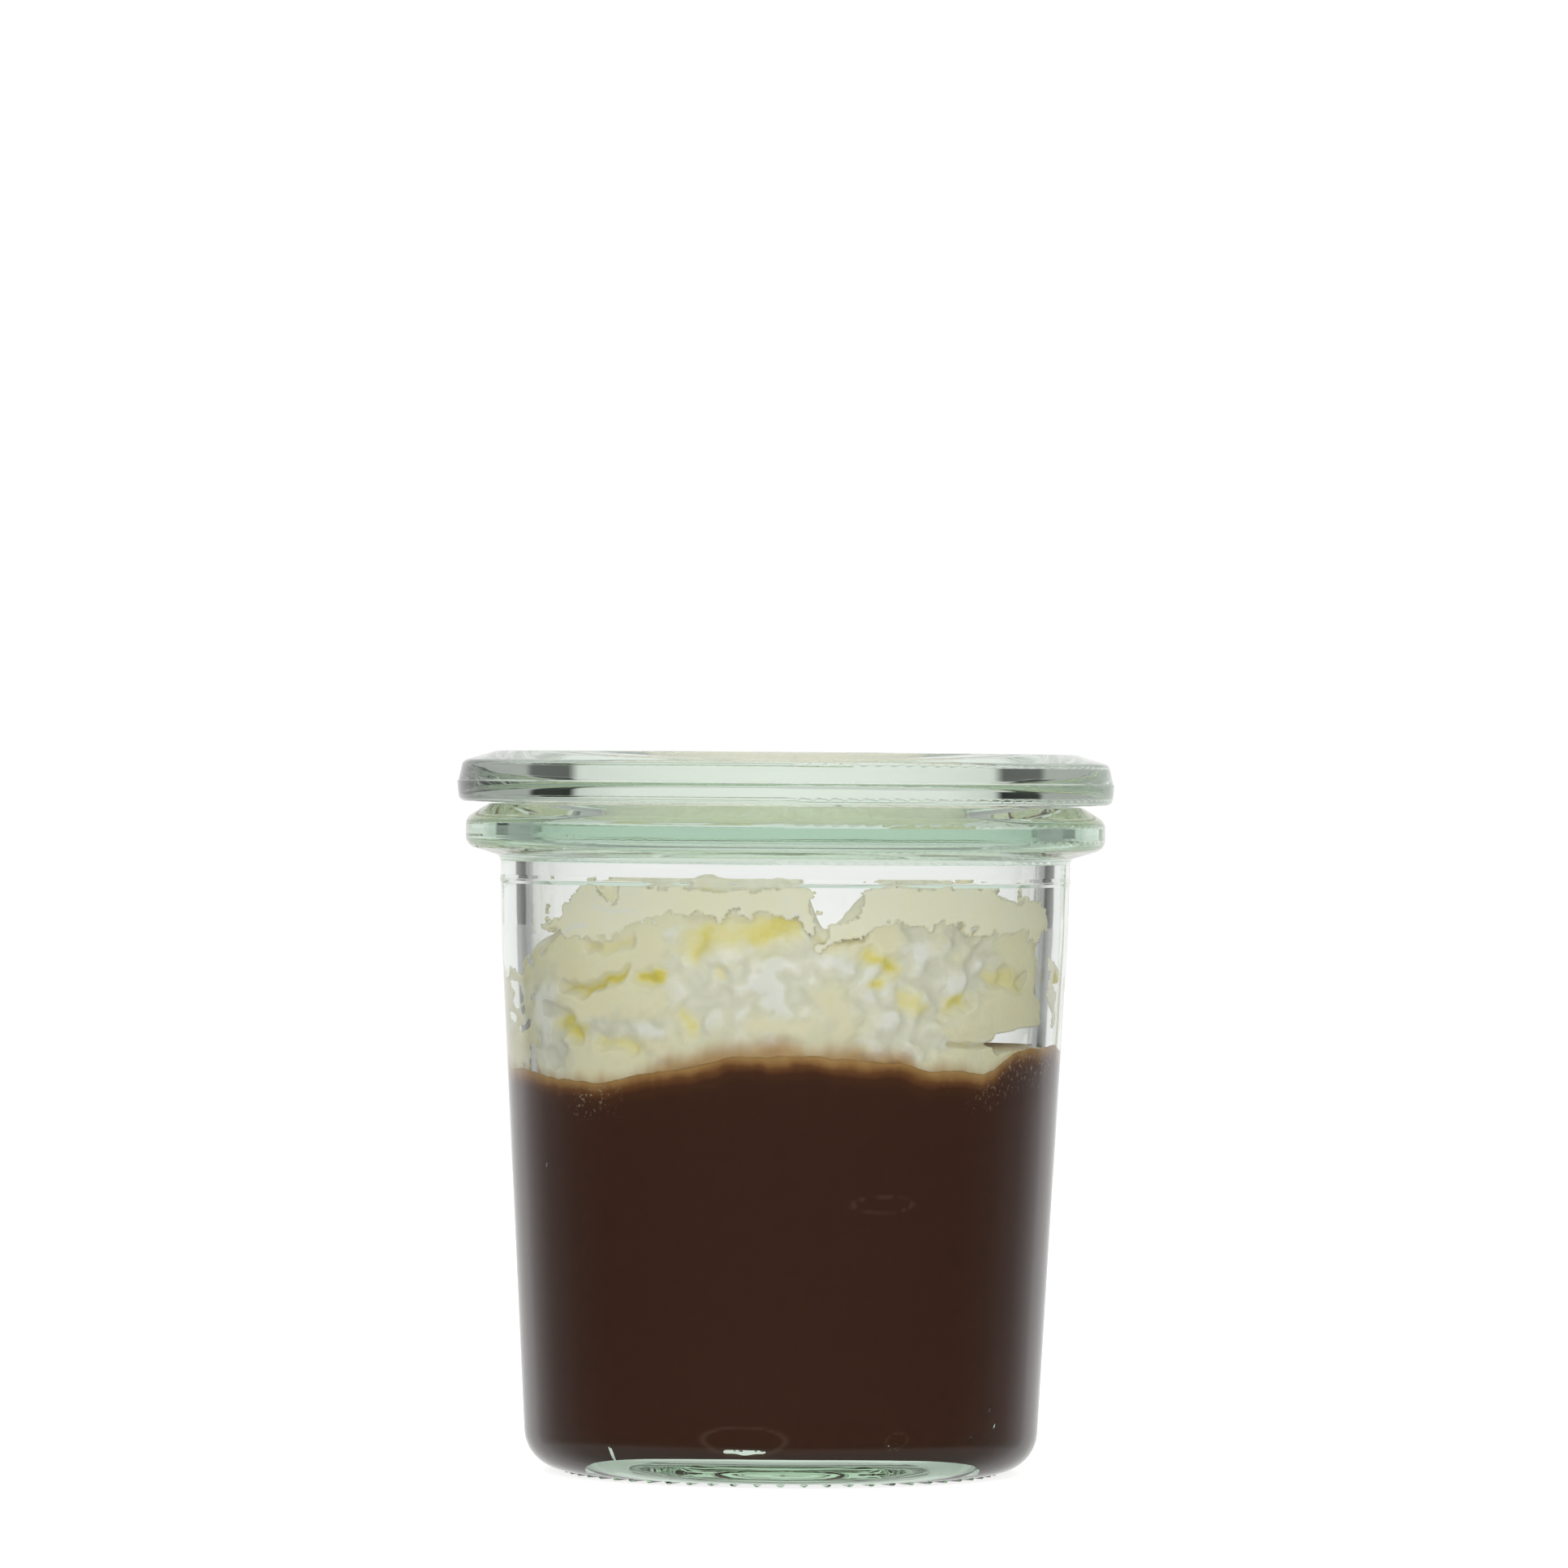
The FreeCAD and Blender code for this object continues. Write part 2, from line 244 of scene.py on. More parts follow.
def edgeHeight(azimuth):
    # where pudding meets glass
    rough = pudding["edgeRoughness"] * lumpy(around(np.asarray(azimuth, float)), 0.0, 5.0, 5, 3.0)
    return closedCurve(azimuth, pudding["edge"], 11) + rough


def frontAndBack(counts):
    # columns stand closer together on the front half
    front = np.linspace(-100.0, 100.0, counts[0], endpoint=False)
    return np.concatenate((front, np.linspace(100.0, 260.0, counts[1], endpoint=False)))


def makePudding():
    floorRows, sideRows, topRows = pudding["rows"]
    columns = frontAndBack(pudding["columns"])[:, None]
    edges = edgeHeight(columns)
    floor = insideHeights[0]
    side = floor + (edges - floor) * np.linspace(0.0, 1.0, sideRows)[None, :] ** 1.2
    radius = wallRadius(side) + pudding["reach"] * smooth(floor - 0.2, floor + 0.6, side)
    rimHighlight = np.zeros(side.shape)
    for pocket in pudding["pockets"] + pudding["paintedBlisterRims"]:
        azimuth, height, halfWidth, halfHeight = pocket
        across = np.radians(around(columns - azimuth)) * wallRadius(side) / halfWidth
        up = (side - height) / halfHeight
        away = np.sqrt(across**2 + up**2)  # 1 on its outline
        # painted highlight: a lighter ring along each outline, for the light caught where air meets the glass
        rimHighlight += np.exp(-(((away - 1.0) / 0.10) ** 2)) - 0.35 * smooth(1.0, 0.9, away)
        if pocket in pudding["pockets"]:
            lip = smooth(1.0, 0.85, away) * smooth(-0.62, -0.80, up + 0.1 * across)
            radius = radius - (pudding["pocketDepth"] + pudding["reach"]) * lip
    for azimuth, height, half in pudding["bubbles"]:
        away = strokeDistance(columns, side, [(azimuth, height)])
        radius = radius - (pudding["bubbleDepth"] + pudding["reach"]) * smooth(half, 0.6 * half, away)
    floorRadius = np.linspace(0.0, insideRadii[0], floorRows, endpoint=False)[None, :] + 0.0 * columns
    floorHeight = floorMiddle + (floor - floorMiddle) * floorRadius / insideRadii[0] + pudding["lift"]
    inward = np.linspace(1.0, 0.0, topRows)[None, :]
    rimRadius = wallRadius(edges) - pudding["edgeRound"]
    middle = float(np.mean(edges)) - pudding["middleDrop"]
    topHeight = middle + (edges - 0.25 - middle) * inward**2
    radii = np.concatenate((floorRadius, radius, rimRadius * inward), axis=1)
    heights = np.concatenate((floorHeight, side, topHeight), axis=1)
    rimHighlights = np.concatenate((0.0 * floorHeight, rimHighlight, 0.0 * topHeight), axis=1)
    frothy = smooth(-0.15, 0.25, lumpy(columns, heights, 9.0, 2, 8.0))
    frothy = frothy * smooth(*pudding["frothyFrom"], np.abs(columns))
    attributes = {"depth": edges - heights, "rimHighlight": rimHighlights, "frothy": frothy}
    faces = roundFaces(*heights.shape)
    return meshObject("chocolatePudding", polar(columns, radii, heights), faces, attributes)


cream = {
    "reach": 0.10,  # mm into the glass
    "columns": (450, 110),
    "rows": (112, 10, 30),  # side, shoulder, top
    "below": 2.0,  # mm that its side goes down behind the pudding's edge
    # height to which it clings to the wall: azimuth, height in mm
    "top": [(-72, 53.5), (-66, 55.5), (-57, 57.8), (-52, 59.0), (-46, 59.5), (-38, 59.7), (-34, 61.4),
            (-20, 61.9), (0, 61.8), (4, 61.4), (7, 57.6), (9, 56.2), (12, 57.0), (15, 58.6), (18, 60.6),
            (23, 61.6), (40, 61.2), (46, 60.6), (51, 60.2), (60, 60.2), (66, 59.4), (72, 55.0),
            (90, 52.5), (128, 55.6), (150, 55.0), (170, 54.0), (185, 54.6), (222, 57.0), (250, 55.0),
            (275, 53.0)],
    "topRoughness": 0.8,  # mm
    "middle": 55.4,  # height of its middle
    "shoulder": 1.4,  # radius over which its side turns into its top, mm
    "frothSize": 3.6,  # mm from lump to lump
    "lumpSize": 6.0,  # and on its top
    "lumpHeight": 1.8,
    "softened": 3,  # times that its relief is evened out
    # how it lies: points (azimuth, height), half width in mm, and the level it comes to there
    # 1 is pressed flat on the glass, 0 only just touches it, below that it draws back from it
    # the level also picks its colour, so these shapes paint light and shade as well
    "shapes": [
        # painted light: pressed cream near the top comes to a lower level and so is painted lighter, for
        # light from behind shining through it
        ([(-48, 59.5), (2, 60)], 3.8, 0.45),
        ([(17, 59.5), (46, 59.5)], 3.2, 0.45),
        ([(-18, 51.5), (-2, 51.5)], 4.5, -0.45),
        ([(3, 57.5), (4, 50)], 2.6, -0.45),
        ([(33, 53), (26, 47.5)], 3.4, -0.40),
        ([(48, 58.5), (40, 58)], 1.8, -0.40),
        ([(-62, 50), (-60, 45)], 3.2, -0.25),
        ([(20, 58.5), (22, 56.5)], 2.1, 0.8),
        ([(9, 51), (14, 50.5)], 1.7, 0.6),
        ([(6, 48), (-6, 48.5)], 1.1, 0.5),
        ([(57, 59.5), (60, 49.5)], 3.2, 0.7),
        ([(-50, 55.5), (-31, 56.5)], 2.3, 0.8),
        ([(-46, 50), (-29, 50.5)], 1.7, 0.7),
        # ridges and mounds, coloured as froth: painted white highlights
        ([(-25, 57.5), (-19, 59), (-11, 60.5), (-2, 61.5), (5, 60.5)], 0.8, -0.35),
        ([(-24, 55), (-15, 55.5), (-7, 56), (-1, 55.5), (6, 55)], 0.8, -0.30),
        ([(8, 54.5), (16, 53.5)], 1.6, -0.5),
        ([(29, 60), (30, 55)], 1.7, -0.5),
        ([(18, 50.5), (26, 50)], 1.5, -0.45),
        ([(48, 54.5), (36, 51)], 2.2, -0.5),
        ([(-46, 47.5), (-37, 48), (-27, 47.5)], 0.9, -0.05),
        ([(18, 47), (25, 45)], 0.65, -0.02),
        ([(33, 47), (36, 46.5)], 1.0, -0.2),
        # hollows painted butter yellow: painted shade for the light scattered deep in the cream
        ([(-20, 57), (-11, 57.5), (0, 58)], 1.7, -1.20),
        ([(-20, 56.5), (-17, 57)], 0.7, -1.7),
        ([(-6, 57.5), (-2, 58.5)], 0.9, -1.5),
        ([(-54, 51.5), (-45, 52), (-36, 53.5)], 0.45, -2.1),
        ([(-31, 53), (-27, 53)], 0.66, -2.4),
        ([(-56, 48), (-50, 47.5)], 1.15, -1.9),
        ([(-42, 46), (-33, 45.5)], 0.75, -1.25),
        ([(-22, 49), (-20, 48)], 0.65, -1.2),
        ([(9, 56.5), (16, 57.5)], 0.8, -1.0),
        ([(19, 55.5), (24, 54.5)], 1.0, -1.8),
        ([(18, 52.5), (20, 52.5)], 0.55, -1.6),
        ([(27, 51.5), (30, 50)], 0.9, -1.1),
        ([(38, 50), (41, 51)], 0.8, -1.8),
        ([(51, 53), (60, 52.5)], 1.0, -1.2),
        ([(-46, 56), (-34, 56.5)], 0.7, -0.9),
        ([(-14, 54), (-14, 53)], 0.4, -1.0),
        ([(76, 60), (82, 48)], 3.6, -3.0),
    ],
    "warp": 0.9,  # mm that every outline is bent by
    "warpSize": 2.6,  # mm from bend to bend
    # where it hangs clear over the pudding: points, half width, depth in mm
    "gaps": [([(38.4, 46.2), (47.5, 46.0), (54, 46.4)], 0.28, 1.0),
             ([(53.5, 46.2), (60, 46.7), (74, 46.9), (104, 46.3), (128, 45.4)], 0.95, 8.0)],
}


def bend(azimuth, height):
    # the same bends for cream and smears, so that their outlines run together
    aside, up = [cream["warp"] * lumpy(azimuth, height, cream["warpSize"], 3, seed) for seed in (51.0, 57.0)]
    return azimuth + np.degrees(aside / wallScale), height + up


def creamLevel(azimuth, height):
    # level: 1 pressed on the glass, 0 just touching, below 0 drawn back; deep hollows painted yellow as shade
    # white: how much of it is loose froth, painted lighter on its crests and greyer in its creases
    wobble = lumpy(azimuth, height, 1.3, 4, 21.0)
    big = lumpy(azimuth, height, 7.0, 3, 1.0, 1.3)
    folds = np.abs(lumpy(azimuth, height, 4.5, 3, 5.0, 1.7))
    level = 0.25 + 0.8 * big + 0.9 * (folds - 0.3)
    white = smooth(0.1, -0.4, level)
    bent = bend(azimuth, height)
    for points, halfWidth, target in cream["shapes"]:
        away = strokeDistance(*bent, points) / halfWidth + 0.35 * wobble
        cover = smooth(1.8, 0.2, away)
        level = level + (target + 0.35 * big - level) * cover
        white = white + (float(-0.6 < target < 0.3) - white) * cover
    return level, white, wobble, big


def makeCream():
    sideRows, bendRows, topRows = cream["rows"]
    columns = frontAndBack(cream["columns"])[:, None]
    edge = edgeHeight(columns)
    low = edge - cream["below"]
    top = closedCurve(columns, cream["top"], 5) + cream["topRoughness"] * lumpy(columns, 0.0, 5.0, 4, 4.0)
    side = low + (top - low) * np.linspace(0.0, 1.0, sideRows)[None, :]
    level, white, wobble, big = creamLevel(columns, side)
    # it leaves the wall at its top
    level = level + (-0.5 - level) * smooth(top - 1.2 + 0.6 * wobble, top + 0.2, side)
    # round lumps with sharp creases
    froth = np.abs(lumpy(columns, side, cream["frothSize"], 2, 7.0)) - 0.25
    froth = froth + 0.07 * lumpy(columns, side, 0.9, 3, 11.0)
    drawn = 0.55 * (np.exp(0.75 * np.minimum(level, 0.0)) - 1.0)
    free = smooth(0.05, -0.35, level)
    drawn = drawn + (1.6 * froth - 0.10) * free - 0.5 * smooth(0.1, 0.5, big) * free
    drawn = np.minimum(drawn, 0.0)
    contact = smooth(-0.20, -0.02, drawn)  # what comes this near is pressed on the glass
    relief = soften(drawn * (1.0 - contact) + cream["reach"] * contact, cream["softened"])
    level, white = soften(level, 2), soften(white, 2)
    for points, halfWidth, depth in cream["gaps"]:
        away = strokeDistance(columns, side, points) / halfWidth + 0.2 * wobble
        relief = relief - depth * smooth(1.15, 0.75, away)
    buried = smooth(0.1, 0.5, edge - side)
    radius = wallRadius(side) + relief - 0.8 * buried
    turned = np.linspace(0.0, 0.5 * math.pi, bendRows + 1)[None, 1:]
    bendRadius = radius[:, -1:] - cream["shoulder"] * (1.0 - np.cos(turned))
    bendHeight = side[:, -1:] + cream["shoulder"] * np.sin(turned)
    inward = 1.0 - np.linspace(0.0, 1.0, topRows + 1)[None, 1:] ** 0.9
    topRadius = bendRadius[:, -1:] * inward
    x, y = [place / cream["lumpSize"] for place in (topRadius * np.sin(np.radians(columns)),
                                                    -topRadius * np.cos(np.radians(columns)))]
    lumps = [abs(noise.fractal(Vector((a, b, 2.0)), 1.0, 2.1, 4)) for a, b in zip(x.ravel(), y.ravel())]
    lumps = cream["lumpHeight"] * np.array(lumps).reshape(x.shape) - 0.4
    rising = smooth(0.66, 1.0, inward)
    topHeight = bendHeight[:, -1:] * rising + cream["middle"] * (1.0 - rising)
    topHeight = topHeight + lumps * smooth(1.0, 0.85, inward)
    radii = np.concatenate((radius, bendRadius, topRadius), axis=1)
    heights = np.concatenate((side, bendHeight, topHeight), axis=1)
    above = np.zeros((len(columns), bendRows + topRows))
    # chocolate has worked into the cream up to here
    blend = edge + 0.3 + 0.9 * smooth(35.0, 18.0, np.abs(columns)) + 1.1 * lumpy(columns, edge, 3.5, 3, 41.0)
    attributes = {
        "level": np.concatenate((level, above - 0.4), axis=1),
        "white": np.concatenate((white, above + 0.7), axis=1),
        # the froth's lump height, kept for painted highlight on its crests and painted shade in its creases
        "lumpShading": np.concatenate((froth, above + 0.1), axis=1),
        "stain": smooth(1.0, -1.0, (heights - blend) / 1.2),
    }
    faces = roundFaces(*heights.shape)
    return meshObject("whippedCream", polar(columns, radii, heights), faces, attributes)


smears = {
    "reach": 0.12,  # mm into the glass, so that it lies over the cream
    "low": 55.6,  # heights in mm between which the glass is smeared
    "high": 63.0,
    "thickness": 0.55,
    "step": (0.5, 0.2),  # degrees round, mm up
    # clear glass: points (azimuth, height), half width in mm
    "windows": [([(-98, 63.2), (-53, 63.2)], 1.9), ([(-98, 60.6), (-58, 60.6)], 2.0),
                ([(-98, 57.5), (-68, 57.5)], 2.0), ([(-98, 54.3), (-77, 54.3)], 1.7),
                ([(-43.5, 62.2), (-39.5, 62.0)], 0.8), ([(7.6, 63.2), (14.9, 63.2)], 1.2),
                ([(8.8, 60.4), (13.0, 60.9)], 1.75), ([(8.0, 58.6), (8.4, 57.4)], 0.75),
                ([(54, 63.3), (98, 63.3)], 2.1), ([(73, 61.5), (98, 61)], 2.3),
                ([(77, 57.5), (98, 57)], 3.6), ([(75, 53), (98, 53)], 2.0),
                ([(112, 61), (122, 59)], 3.5), ([(160, 63), (184, 63)], 3.2),
                ([(162, 59), (176, 58)], 3.0), ([(140, 56), (146, 56)], 2.5),
                ([(205, 59), (214, 58)], 2.4), ([(-112, 61), (-122, 59)], 4.0)],
    # dabs left on clear glass
    "dabs": [([(7.4, 60.0)], 0.26), ([(7.8, 58.7)], 0.2), ([(74.5, 54.5), (78, 48.5)], 0.95),
             ([(118, 62)], 0.4)],
    # where it was wiped up into a thicker fold
    "folds": [([(-45.2, 60.4), (-40, 59.8), (-33.4, 59.9)], 0.22),
              ([(-62, 55.9), (-50, 58.2), (-47, 58.3)], 0.3), ([(2.6, 59.3)], 0.65)],
}


def makeSmears():
    stepRound, stepUp = smears["step"]
    columns = np.arange(-180.0, 180.0, stepRound)[:, None]
    rows = np.arange(smears["low"] - 9.0, smears["high"] + 0.6, stepUp)[None, :]
    wobble = lumpy(columns, rows, 1.5, 4, 12.0)
    broad = lumpy(columns, rows, 7.0, 3, 15.0, 0.8)
    streaks = lumpy(columns, rows, 1.1, 2, 17.0, 0.1)
    # there is cream where the mask is above 0
    mask = 0.8 + 0.5 * broad
    low = np.maximum(smears["low"] + 3.0 * broad, closedCurve(columns, cream["top"], 5) - 3.2 + 2.0 * wobble)
    mask = mask - 2.0 * smooth(low + 1.2, low, rows + 0.5 * wobble)
    uneven = rows + 0.7 * wobble + 0.8 * np.maximum(broad, 0.0)
    mask = mask - 2.0 * smooth(smears["high"] - 0.7, smears["high"] - 0.1, uneven)
    bent = bend(columns, rows)
    for target, group in ((-1.0, "windows"), (1.0, "dabs")):
        for points, halfWidth in smears[group]:
            away = strokeDistance(*bent, points) / halfWidth + 0.30 * wobble
            mask = mask + (target - mask) * smooth(1.25, 0.75, away)
    holes = smooth(0.25, 0.7, lumpy(columns, rows, 0.9, 2, 31.0))
    mask = mask - 0.5 * holes * smooth(60.0, 70.0, np.abs(columns))
    raised = sum(smooth(1.4, 0.2, strokeDistance(columns, rows, points) / width)
                 for points, width in smears["folds"])
    thick = smears["thickness"] * (1.0 + 0.9 * broad + 0.5 * streaks + 1.4 * raised) * smooth(0.0, 0.5, mask)
    thick = np.clip(thick, 0.03, 1.3)
    keep = mask > 0.0
    count, rowCount = keep.shape
    full = keep & np.roll(keep, -1, axis=0)
    full = full[:, :-1] & full[:, 1:]
    # points on the outline slide to where the mask runs out, so it isn't stepped
    stepWide = math.radians(stepRound) * wallScale
    slopeX = (np.roll(mask, -1, axis=0) - np.roll(mask, 1, axis=0)) / (2.0 * stepWide)
    slopeZ = np.gradient(mask, axis=1) / stepUp
    steep = np.maximum(np.hypot(slopeX, slopeZ), 0.2)
    slide = np.minimum(mask / steep, 0.16) * (mask < steep * 0.25)
    wide = columns - np.degrees(slide * slopeX / steep / wallScale)
    high = rows - slide * slopeZ / steep
    outer = polar(wide, wallRadius(high) + smears["reach"], high)
    inner = polar(wide, wallRadius(high) - thick, high)
    offset = count * rowCount
    faces = []
    for i, k in zip(*np.nonzero(full)):
        i, k = int(i), int(k)
        j = (i + 1) % count
        a, b, c, d = i * rowCount + k, j * rowCount + k, j * rowCount + k + 1, i * rowCount + k + 1
        faces += [(a, b, c, d), (d + offset, c + offset, b + offset, a + offset)]
        sides = ((full[i - 1, k], a, d), (full[j, k], c, b), (k > 0 and full[i, k - 1], b, a),
                 (k < rowCount - 2 and full[i, k + 1], d, c))
        faces += [(p, q, q + offset, p + offset) for joined, p, q in sides if not joined]
    level = np.tile((0.65 + 0.25 * streaks + 0.4 * broad - 0.8 * np.clip(raised, 0.0, 1.0)).ravel(), 2)
    corners = np.concatenate((outer.reshape(-1, 3), inner.reshape(-1, 3)))
    plain = np.zeros(2 * offset)
    attributes = {"level": level, "white": plain, "lumpShading": plain, "stain": plain}
    return meshObject("creamSmears", corners, faces, attributes)


glass = {
    "green": (0.20, 0.75, 0.20, 1.0),  # red, green and blue that it lets through, by the densities below
    "jarDensity": 7.0,
    "lidDensity": 2.6,
    "clear": "#ffffff",
    "rimTint": "#dbeae0",
    "rimHeight": (6.2, 5.2),  # mm below the jar's top between which this tint sets in
    "footTint": "#cde0cf",
    "lidTint": "#f2f4f1",
    "wave": 11.0,  # mm from wave to wave
    "waveHeight": 0.6,  # mm
}


def pressedGlass(name, density, low, high, tints):
    # soda-lime glass pressed in an iron mould: water clear in the wall, sea green where it is thick,
    # with slow waves in its skin that make reflections swim
    material, tree = newMaterial(name)
    coords = addNode(tree, "TexCoord").outputs["Object"]
    scale = 1.0 / (glass["wave"] * mm)
    waves = addNode(tree, "TexNoise", {"Scale": scale, "Detail": 1.0}, {"Vector": coords})
    bump = addNode(tree, "Bump", {"Strength": 0.05, "Distance": glass["waveHeight"] * mm},
                   {"Height": waves.outputs["Fac"]})
    up = addNode(tree, "SeparateXYZ", links={"Vector": coords}).outputs["Z"]
    share = addNode(tree, "MapRange", {"From Min": low * mm, "From Max": high * mm}, {"Value": up})
    tint = addNode(tree, "ValToRGB", links={"Fac": share.outputs["Result"]}, stops=tints).outputs["Color"]
    shader = addNode(tree, "BsdfPrincipled", {
        "Roughness": 0.0,
        "IOR": 1.52,
        "Transmission Weight": 1.0,
    }, {"Base Color": tint, "Normal": bump.outputs["Normal"]})
    inside = addNode(tree, "VolumeAbsorption", {"Color": glass["green"], "Density": density})
    addNode(tree, "OutputMaterial", links={"Surface": shader.outputs[0], "Volume": inside.outputs[0]})
    return material


puddingFinish = {
    "bubbleGap": 0.45,  # mm
    "blotch": 3.0,  # mm across
    "full": 5.0,  # mm below its edge where it has its full colour
    "colours": [(0.0, "#b9935f"), (0.10, "#a37a4a"), (0.22, "#754c2b"), (0.36, "#50301c"), (0.6, "#46281a"),
                (1.0, "#452719")],
    "frothyDepth": 4.5,  # mm below its edge down to which there are bubbles
    # paler colour of its bubbles, also used for the painted highlight ring round its air pockets
    "bubbleAndHighlightColour": "#a08c78",
}


def cookedPudding():
    # dark chocolate pudding cooked with starch: dense, dull and deep brown, paler and full of
    # small bubbles where the cream has worked into its edge, with a painted highlight ring round its air
    # pockets
    material, tree = newMaterial("cookedChocolatePudding")
    coords = addNode(tree, "TexCoord").outputs["Object"]
    depth, rimHighlight, frothy = [addNode(tree, "Attribute", attribute_name=field).outputs["Fac"]
                           for field in ("depth", "rimHighlight", "frothy")]
    scale = 1.0 / (puddingFinish["blotch"] * mm)
    blotch = addNode(tree, "TexNoise", {"Scale": scale, "Detail": 2.0}, {"Vector": coords}).outputs["Fac"]
    shifted = addNode(tree, "Math", {1: 1.2, 2: -0.6}, {0: blotch}, operation="MULTIPLY_ADD").outputs[0]
    deeper = addNode(tree, "Math", links={0: shifted, 1: depth}, operation="ADD").outputs[0]
    share = addNode(tree, "MapRange", {"From Max": puddingFinish["full"]}, {"Value": deeper})
    colour = addNode(tree, "ValToRGB", links={"Fac": share.outputs["Result"]}, stops=puddingFinish["colours"])
    scale = 1.0 / (puddingFinish["bubbleGap"] * mm)
    grain = addNode(tree, "TexNoise", {"Scale": scale, "Detail": 3.0}, {"Vector": coords}).outputs["Fac"]
    speck = addNode(tree, "MapRange", {"From Min": 0.57, "From Max": 0.66}, {"Value": grain})
    near = addNode(tree, "MapRange", {"From Min": puddingFinish["frothyDepth"], "From Max": 0.5},
                   {"Value": depth}).outputs["Result"]
    strewn = addNode(tree, "Math", links={0: near, 1: frothy}, operation="MULTIPLY").outputs[0]
    bubbles = addNode(tree, "Math", links={0: strewn, 1: speck.outputs["Result"]},
                      operation="MULTIPLY").outputs[0]
    # the bubbles and the painted highlight rings both mix in the paler colour
    light = addNode(tree, "Math", {1: 0.10}, {0: rimHighlight, 2: bubbles}, operation="MULTIPLY_ADD", use_clamp=True)
    mixed = addNode(tree, "Mix", {7: linear(puddingFinish["bubbleAndHighlightColour"])},
                    {0: light.outputs[0], 6: colour.outputs["Color"]}, data_type="RGBA")
    shader = addNode(tree, "BsdfPrincipled", {
        "Roughness": 0.5,
        "Specular IOR Level": 0.05,
    }, {"Base Color": mixed.outputs[2]})
    addNode(tree, "OutputMaterial", links={"Surface": shader.outputs[0]})
    return material


creamFinish = {
    # the lowest levels, in the hollows, are painted butter yellow as shade
    "levels": (-2.5, 1.0),  # of the attribute that the colours run over: creases, free, pressed on the glass
    "whippedDairyCream": {
        "glow": 0.4,
        "glowReach": (0.8, 0.7, 0.6),  # mm that red, green and blue light travels in it
        "colours": [(0.0, "#dfcf50"), (0.15, "#e5d868"), (0.29, "#ece292"), (0.43, "#efe8b2"),
                    (0.57, "#eee8c0"), (0.71, "#f0ebca"), (0.86, "#f8f2d3"), (1.0, "#f6efcb")],
    },
    "thinDairyCream": {
        "glow": 0.0,  # too thin to glow
        "glowReach": (0.5, 0.5, 0.5),
        "colours": [(0.0, "#f2ecc8"), (0.7, "#fbf9ec"), (0.85, "#fdf9e2"), (1.0, "#fdf8da")],
    },
    "bubbles": 0.7,  # mm from one cluster of bubbles to the next
    # painted shade and highlight: greyer, yellower creases and whiter crests
    "froth": [(0.0, "#e1e0cd"), (0.5, "#eae8d7"), (1.0, "#fbfaf1")],  # creases to crests
    "stain": "#c4a273",
    "grain": 0.2,  # mm that its bubbles stand out
}


def whippedCream(name):
    # unsweetened dairy cream, whipped stiff: white froth where it stands free, waxy and faintly
    # yellow where it is pressed on the glass; butter yellow painted down in its creases as shade, and its
    # froth painted lighter on crests and greyer in creases
    finish = creamFinish[name]
    material, tree = newMaterial(name)
    coords = addNode(tree, "TexCoord").outputs["Object"]
    level, white, lumpShading, stain = [addNode(tree, "Attribute", attribute_name=field).outputs["Fac"]
                                  for field in ("level", "white", "lumpShading", "stain")]
    scale = 1.0 / (creamFinish["bubbles"] * mm)
    froth = addNode(tree, "TexNoise", {"Scale": scale, "Detail": 4.0}, {"Vector": coords}).outputs["Fac"]
    uneven = addNode(tree, "Math", {1: 0.8, 2: -0.4}, {0: froth}, operation="MULTIPLY_ADD").outputs[0]
    shifted = addNode(tree, "Math", links={0: uneven, 1: level}, operation="ADD").outputs[0]
    lowest, highest = creamFinish["levels"]
    share = addNode(tree, "MapRange", {"From Min": lowest, "From Max": highest}, {"Value": shifted})
    body = addNode(tree, "ValToRGB", links={"Fac": share.outputs["Result"]}, stops=finish["colours"])
    # painted highlight and shade: the froth is whiter on its crests and greyer and yellower in its creases
    grained = addNode(tree, "Math", {1: 0.6}, {0: uneven, 2: lumpShading}, operation="MULTIPLY_ADD").outputs[0]
    height = addNode(tree, "MapRange", {"From Min": -0.25, "From Max": 0.30}, {"Value": grained})
    foam = addNode(tree, "ValToRGB", links={"Fac": height.outputs["Result"]}, stops=creamFinish["froth"])
    mixed = addNode(tree, "Mix", links={0: white, 6: body.outputs["Color"], 7: foam.outputs["Color"]},
                    data_type="RGBA")
    stained = addNode(tree, "Mix", {7: linear(creamFinish["stain"])}, {0: stain, 6: mixed.outputs[2]},
                      data_type="RGBA")
    bump = addNode(tree, "Bump", {"Strength": 0.25, "Distance": creamFinish["grain"] * mm}, {"Height": froth})
    shader = addNode(tree, "BsdfPrincipled", {
        "Roughness": 0.5,
        "Specular IOR Level": 0.25,
        "Subsurface Weight": finish["glow"],
        "Subsurface Radius": [reach * mm for reach in finish["glowReach"]],
        "Subsurface Scale": 1.0,
    }, {"Base Color": stained.outputs[2], "Normal": bump.outputs["Normal"]})
    addNode(tree, "OutputMaterial", links={"Surface": shader.outputs[0]})
    return material


